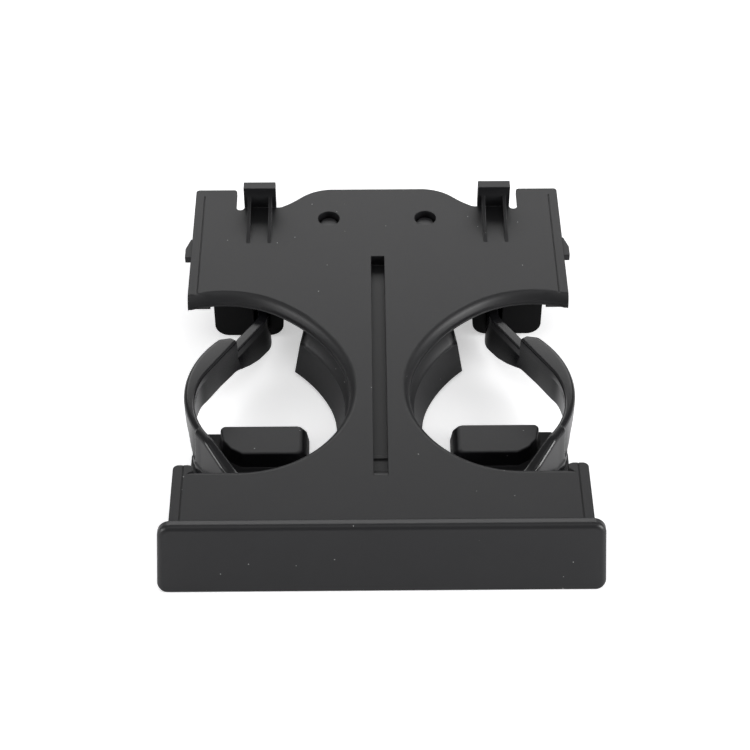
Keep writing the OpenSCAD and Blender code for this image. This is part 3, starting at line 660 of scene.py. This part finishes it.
class HOLDER_OT_springs(Operator):
    """Wind the two torsion springs"""

    bl_idname = "holder.springs"
    bl_label = "Wind the springs"

    WIRE, COIL, TURNS = 0.45 * MM, 4.05 * MM, 4      # radius of the wire, radius of the coil, and turns

    def execute(self, context):
        low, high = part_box("right_arm_spring")
        leg = high[1] - PIVOT[1]
        z0, z1 = low[2] + self.WIRE, high[2] - self.WIRE
        angle = np.linspace(0, 2 * math.pi * self.TURNS, self.TURNS * 40 + 1)
        rise = z0 + (z1 - z0) * angle / angle[-1]
        helix = np.stack([self.COIL * np.cos(angle), self.COIL * np.sin(angle), rise], axis=1)
        path = np.concatenate([[(self.COIL, -leg, z0)], helix, [(self.COIL, leg, z1)]])
        both_sides("arm_spring", [self.wire(path + (PIVOT[0], PIVOT[1], 0), self.WIRE)], 60)
        return {"FINISHED"}

    def wire(self, path, radius, count=12):
        """A round wire: at each point a circle square to the path, from one level and one rising vector."""
        along = np.gradient(path, axis=0)
        along /= np.linalg.norm(along, axis=1)[:, None]
        level = np.cross((0, 0, 1), along)
        level /= np.linalg.norm(level, axis=1)[:, None]
        rising = np.cross(along, level)
        angle = np.arange(count) * 2 * math.pi / count
        ring = np.cos(angle)[None, :, None] * level[:, None, :]
        ring = ring + np.sin(angle)[None, :, None] * rising[:, None, :]
        return path[:, None, :] + radius * ring


class HOLDER_OT_arms(Operator):
    """Sweep the two sprung arms"""

    bl_idname = "holder.arms"
    bl_label = "Sweep the arms"

    START, END = 32, -37       # degrees between which an arm curves round the cup
    RISEN = 3.02               # station where the band, from station 3 on, has stepped up from the neck
    KINK = 24 * MM             # straight stretch of the band behind the curve
    TIP = 36 * MM              # straight stretch in front of it
    # Rough length of the six stretches between stations 0 and 6, from which the rings are spaced
    LENGTHS = (14.5 * MM, 7.8 * MM, 22 * MM, KINK, 43.4 * MM, TIP)
    OUTER_ARC = (-8 * MM, 6 * MM)      # centre of the band's outer arc, from the cup's middle
    TOP = PLATE_TOP - 3 * MM
    NECK_TOP = PLATE_TOP - 10 * MM
    NECK_FOOT = NECK_TOP - 16 * MM
    SIDE_FOOT = TOP - 19 * MM
    FOOT = 4.5 * MM

    def execute(self, context):
        arm = context.scene.holder_arms
        both_sides("arm", [self.sweep(arm), self.hub(arm)], 50)
        return {"FINISHED"}

    def line(self, arm, n):
        """Place and heading of the arm's inner line at stations n.

        Stations 0 to 1 run forward from the hub, 1 to 2 round the neck's bend, 2 to 4 straight along
        the neck and the rear of the band, 4 to 5 round the cup, and 5 to 6 straight to the tip. The
        heading is the vector that points away from the cup.
        """
        heading = np.radians(np.interp(n, [1, 2, 4, 5], [0, self.START, self.START, self.END]))
        out = np.stack([np.cos(heading), np.sin(heading)], axis=1)
        rear = np.radians(self.START)
        neck_x = PIVOT[0] - arm.neck_width / 2
        run = CUP[0] + arm.ring_radius * np.cos(rear) - neck_x - arm.bend_radius * (1 - np.cos(rear))
        run = run / np.sin(rear)
        # Distance back from the curve's rear end, and forward from its front end
        back = np.interp(n, [2, 3, 4], [run, self.KINK, 0])
        ahead = np.interp(n, [5, 6], [0, self.TIP])
        along = np.stack([-out[:, 1], out[:, 0]], axis=1)
        place = CUP + arm.ring_radius * out + (back - ahead)[:, None] * along
        bend_y = CUP[1] + (arm.ring_radius + arm.bend_radius) * np.sin(rear) + run * np.cos(rear)
        bent = np.array([neck_x + arm.bend_radius, bend_y]) - arm.bend_radius * out
        straight = np.stack([np.full_like(n, neck_x), PIVOT[1] + n * (bend_y - PIVOT[1])], axis=1)
        place = np.where((n < 2)[:, None], bent, place)
        return np.where((n < 1)[:, None], straight, place), out

    def width(self, arm, n, place, out):
        """Width of the top: the neck's, then the way from the inner line to the band's outer arc.

        For q from the arc's centre to the line and b its part along the heading, the way to an arc
        of radius R is sqrt(b^2 - q^2 + R^2) - b. Past the curve the arm keeps a width of its own.
        """
        q = place - (CUP + self.OUTER_ARC)
        b = (q * out).sum(axis=1)
        reach = arm.ring_radius + arm.band_width - self.OUTER_ARC[0]
        arc = np.sqrt(np.maximum(b ** 2 - (q ** 2).sum(axis=1) + reach ** 2, 0)) - b
        grown = arm.neck_width + (n - self.RISEN) * self.KINK * 1.1
        least = eased([(4.78, 0), (4.9, 4.4 * MM), (5, 4.4 * MM), (5.5, 5.6 * MM)], n)
        wide = np.maximum(least, np.minimum(arc, grown))
        return np.where(n <= 3, arm.neck_width, wide)

    def sweep(self, arm):
        """The arm's rings: the section's corners as arrays over all stations, in turn against the clock.

        A point at distance o from the line and height z is the line's place plus o times the heading.
        The band steps up from the neck between station 3 and the station RISEN.
        """
        spread = [k + np.arange(0, 1, arm.step / length) for k, length in enumerate(self.LENGTHS)]
        n = np.sort(np.concatenate([*spread, [6.0], [self.RISEN]]))
        place, out = self.line(arm, n)
        w = self.width(arm, n, place, out)
        tip_table = [(5.11, self.TOP), (5.6, self.TOP - 5 * MM)]
        top = eased([(3, self.NECK_TOP), (self.RISEN, self.TOP), *tip_table], n)
        top = np.where(n > 4.5, eased(tip_table, n, 11), top)
        foot = eased(
            [(0.6, self.NECK_FOOT), (1, self.FOOT + 1 * MM), (1.5, self.FOOT), (2.34, self.FOOT + 1.5 * MM),
             (2.68, self.FOOT + 4 * MM), (3.15, self.SIDE_FOOT + 2 * MM), (3.65, self.SIDE_FOOT + 0.5 * MM),
             (4.52, self.SIDE_FOOT), (4.66, self.FOOT)], n, 9
        )
        # Underside of the band's overhang, which runs down almost to the foot of the front flank
        lip_table = [(4.45, self.TOP - 6 * MM), (4.82, self.FOOT + 6 * MM)]
        lip = eased([(3, self.NECK_TOP - 4 * MM), (self.RISEN, self.TOP - 6 * MM), *lip_table], n)
        lip = np.where(n > 4, eased(lip_table, n, 19), lip)
        # The front flank is solid and flares out at its foot
        fill = eased([(4.66, 0), (4.82, 1)], n, 7)
        flare = fill * 1.5 * MM
        wall = (1 - fill) * eased([(self.RISEN, arm.neck_width), (3.3, arm.wall)], n) + fill * (w + flare)
        lean = -eased([(0.6, 0), (1, 1 * MM), (2, 2 * MM), (3, 2 * MM), (3.65, 0)], n, 9)
        # The wall is set back a little under the band, round the cup
        back = eased([(4.06, 0), (4.16, 0.9 * MM), (4.66, 0.9 * MM), (4.8, 0)], n, 13)
        # The inner wall's knee runs on level from the neck into the band, so that the wall has no step there
        knee = eased([(3.3, self.NECK_TOP - 5 * MM), (4, self.TOP - 5 * MM)], n, 15)
        knee = np.where(n < 4, knee, top - 5 * MM)
        neck = n <= 3
        outer = np.where(neck, 0.8, 2.2) * MM
        inner = np.where(neck, 0.8, 1.2) * MM
        ease = 0.5 * MM
        turn = np.linspace(0, math.pi / 2, 7)
        section = [
            (lean + back, foot + ease), (lean + back + 0.3 * ease, foot + 0.3 * ease),
            (lean + back + ease, foot), (lean + wall - ease, foot),
            (lean + wall - 0.3 * ease, foot + 0.3 * ease), (lean + wall, foot + ease),
            (wall, lip - 1.2 * MM), (wall, lip - 0.4 * MM),
            (w + 0.7 * flare, lip), (w + 0.6 * flare, lip + 0.6 * MM),
            *[(w - outer * (1 - np.cos(a)), top - outer * (1 - np.sin(a))) for a in turn],
            *[(inner * (1 - np.sin(a)), top - inner * (1 - np.cos(a))) for a in turn],
            (0 * n, top - 4 * MM), (0.5 * back, top - 4.4 * MM), (back, knee),
        ]
        offset, height = np.array(section).transpose(1, 2, 0)
        flat = place[:, None, :] + offset[:, :, None] * out[:, None, :]
        return np.concatenate([flat, height[:, :, None]], axis=2)

    def hub(self, arm):
        """The hub: a closed section of bore and chamfered rim, carried once round the pin's axis."""
        low, high, chamfer = self.NECK_FOOT - 0.4 * MM, self.NECK_TOP + 0.2 * MM, 0.4 * MM
        bore, rim = arm.bore_radius, arm.hub_radius
        return turned(PIVOT, [
            (bore, low + chamfer), (bore + chamfer, low), (rim - chamfer, low), (rim, low + chamfer),
            (rim, high - chamfer), (rim - chamfer, high), (bore + chamfer, high), (bore, high - chamfer),
        ], 65)


def softbox(name, place, aim, size, power):
    """A rectangular area lamp at place that looks at aim."""
    lamp = bpy.data.lights.new(name, "AREA")
    lamp.shape = "RECTANGLE"
    lamp.size, lamp.size_y = size
    lamp.energy = power
    holder = bpy.data.objects.new(name, lamp)
    bpy.context.scene.collection.objects.link(holder)
    holder.location = place
    toward = np.array(aim) - np.array(place)
    tilt = math.acos(-toward[2] / np.linalg.norm(toward))
    holder.rotation_euler = (tilt, 0, math.atan2(toward[1], toward[0]) - math.pi / 2)


class HOLDER_OT_stage(Operator):
    """Set the pale floor, the soft lamps and the camera"""

    bl_idname = "holder.stage"
    bl_label = "Set the stage"

    REACH = 3.0      # metres from the holder to the floor's edges

    def execute(self, context):
        scene = context.scene
        studio = scene.holder_studio
        scene.view_settings.view_transform = "Standard"
        self.lay_floor(studio)
        self.hang_lamps(scene, studio)
        eye = bpy.data.cameras.new("camera")
        eye.lens = studio.lens
        eye.sensor_width = 36.0
        eye.clip_end = 20.0
        camera = bpy.data.objects.new("camera", eye)
        scene.collection.objects.link(camera)
        camera.location = studio.camera_place
        camera.rotation_euler = (math.pi / 2 - studio.tilt, 0, -studio.turn)
        scene.camera = camera
        return {"FINISHED"}

    def lay_floor(self, studio):
        """A flat square 6 m across, at the height that the holder stands on."""
        r = self.REACH
        corners = [(-r, -r, 0), (r, -r, 0), (r, r, 0), (-r, r, 0)]
        mesh = bpy.data.meshes.new("floor")
        mesh.from_pydata(corners, [], [(0, 1, 2, 3)])
        floor = bpy.data.objects.new("floor", mesh)
        bpy.context.scene.collection.objects.link(floor)
        # Photographer's paper sweep, exposed until it bleaches to white and only soft shade is left on it
        paper = bpy.data.materials.new("paper_floor")
        paper.use_nodes = True
        tree = paper.node_tree
        shader = tree.nodes["Principled BSDF"]
        shader.inputs["Base Color"].default_value = linear(studio.floor_colour)
        shader.inputs["Roughness"].default_value = 0.9
        shader.inputs["Specular IOR Level"].default_value = 0.0
        path = add_node(tree, "ShaderNodeLightPath")
        lift = add_node(
            tree, "ShaderNodeMath", {"operation": "MULTIPLY", 1: studio.floor_lift},
            _0=path.outputs["Is Camera Ray"]
        )
        tree.links.new(lift.outputs[0], shader.inputs["Emission Strength"])
        shader.inputs["Emission Color"].default_value = (1, 1, 1, 1)
        mesh.materials.append(paper)

    def hang_lamps(self, scene, studio):
        """A softbox above the rear, one above the front and one at each side, and even light all round."""
        middle = (0.0, 0.0, 0.0)
        softbox("rear_softbox", (0.0, 1.05, 0.72), (0.0, 0.05, 0.0), (1.5, 0.5), studio.key_power)
        softbox("top_softbox", (0.0, -0.35, 1.5), middle, (1.4, 0.8), studio.fill_power)
        softbox("left_softbox", (-1.0, -0.35, 0.45), middle, (0.5, 0.5), studio.left_power)
        softbox("right_softbox", (1.0, -0.35, 0.45), middle, (0.5, 0.5), studio.right_power)
        world = bpy.data.worlds.new("studio")
        world.use_nodes = True
        scene.world = world
        tree = world.node_tree
        tree.nodes.clear()
        # The camera sees plain white. Glossy rays see the even light, because nearly all that shows is black
        # plastic, and white would make its sheen paler than the real one's
        path = add_node(tree, "ShaderNodeLightPath")
        seen = add_node(
            tree, "ShaderNodeMath", {"operation": "MAXIMUM"},
            _0=path.outputs["Is Camera Ray"], _1=path.outputs["Is Transmission Ray"]
        )
        even = add_node(tree, "ShaderNodeBackground", {"Color": (1, 1, 1, 1), "Strength": studio.sky})
        white = add_node(tree, "ShaderNodeBackground", {"Color": (1, 1, 1, 1), "Strength": 1.0})
        both = add_node(
            tree, "ShaderNodeMixShader", _0=seen.outputs[0], _1=even.outputs[0], _2=white.outputs[0]
        )
        add_node(tree, "ShaderNodeOutputWorld", Surface=both.outputs[0])


class HOLDER_PT_sidebar(Panel):
    """Lists the steps and their settings"""

    bl_label = "Cup holder"
    bl_idname = "HOLDER_PT_sidebar"
    bl_space_type = "VIEW_3D"
    bl_region_type = "UI"
    bl_category = "Cup holder"

    def draw(self, context):
        for operator in OPERATORS:
            self.layout.operator(operator.bl_idname)
        for group in (context.scene.holder_studio, context.scene.holder_finish, context.scene.holder_arms):
            for name in group.bl_rna.properties.keys():
                if name not in ("rna_type", "name"):
                    self.layout.prop(group, name)


OPERATORS = (
    HOLDER_OT_nodes, HOLDER_OT_mouldings, HOLDER_OT_lips, HOLDER_OT_panel, HOLDER_OT_arms, HOLDER_OT_rests,
    HOLDER_OT_springs, HOLDER_OT_stage,
)
CLASSES = (StudioSettings, FinishSettings, ArmSettings, *OPERATORS, HOLDER_PT_sidebar)


def register():
    for item in CLASSES:
        bpy.utils.register_class(item)
    bpy.types.Scene.holder_studio = PointerProperty(type=StudioSettings)
    bpy.types.Scene.holder_finish = PointerProperty(type=FinishSettings)
    bpy.types.Scene.holder_arms = PointerProperty(type=ArmSettings)


def unregister():
    del bpy.types.Scene.holder_arms
    del bpy.types.Scene.holder_finish
    del bpy.types.Scene.holder_studio
    for item in reversed(CLASSES):
        bpy.utils.unregister_class(item)


def main():
    """Runs every step in order."""
    register()
    bpy.ops.holder.nodes()
    bpy.ops.holder.mouldings()
    bpy.ops.holder.lips()
    bpy.ops.holder.panel()
    bpy.ops.holder.arms()
    bpy.ops.holder.rests()
    bpy.ops.holder.springs()
    bpy.ops.holder.stage()


if __name__ == "__main__":
    main()
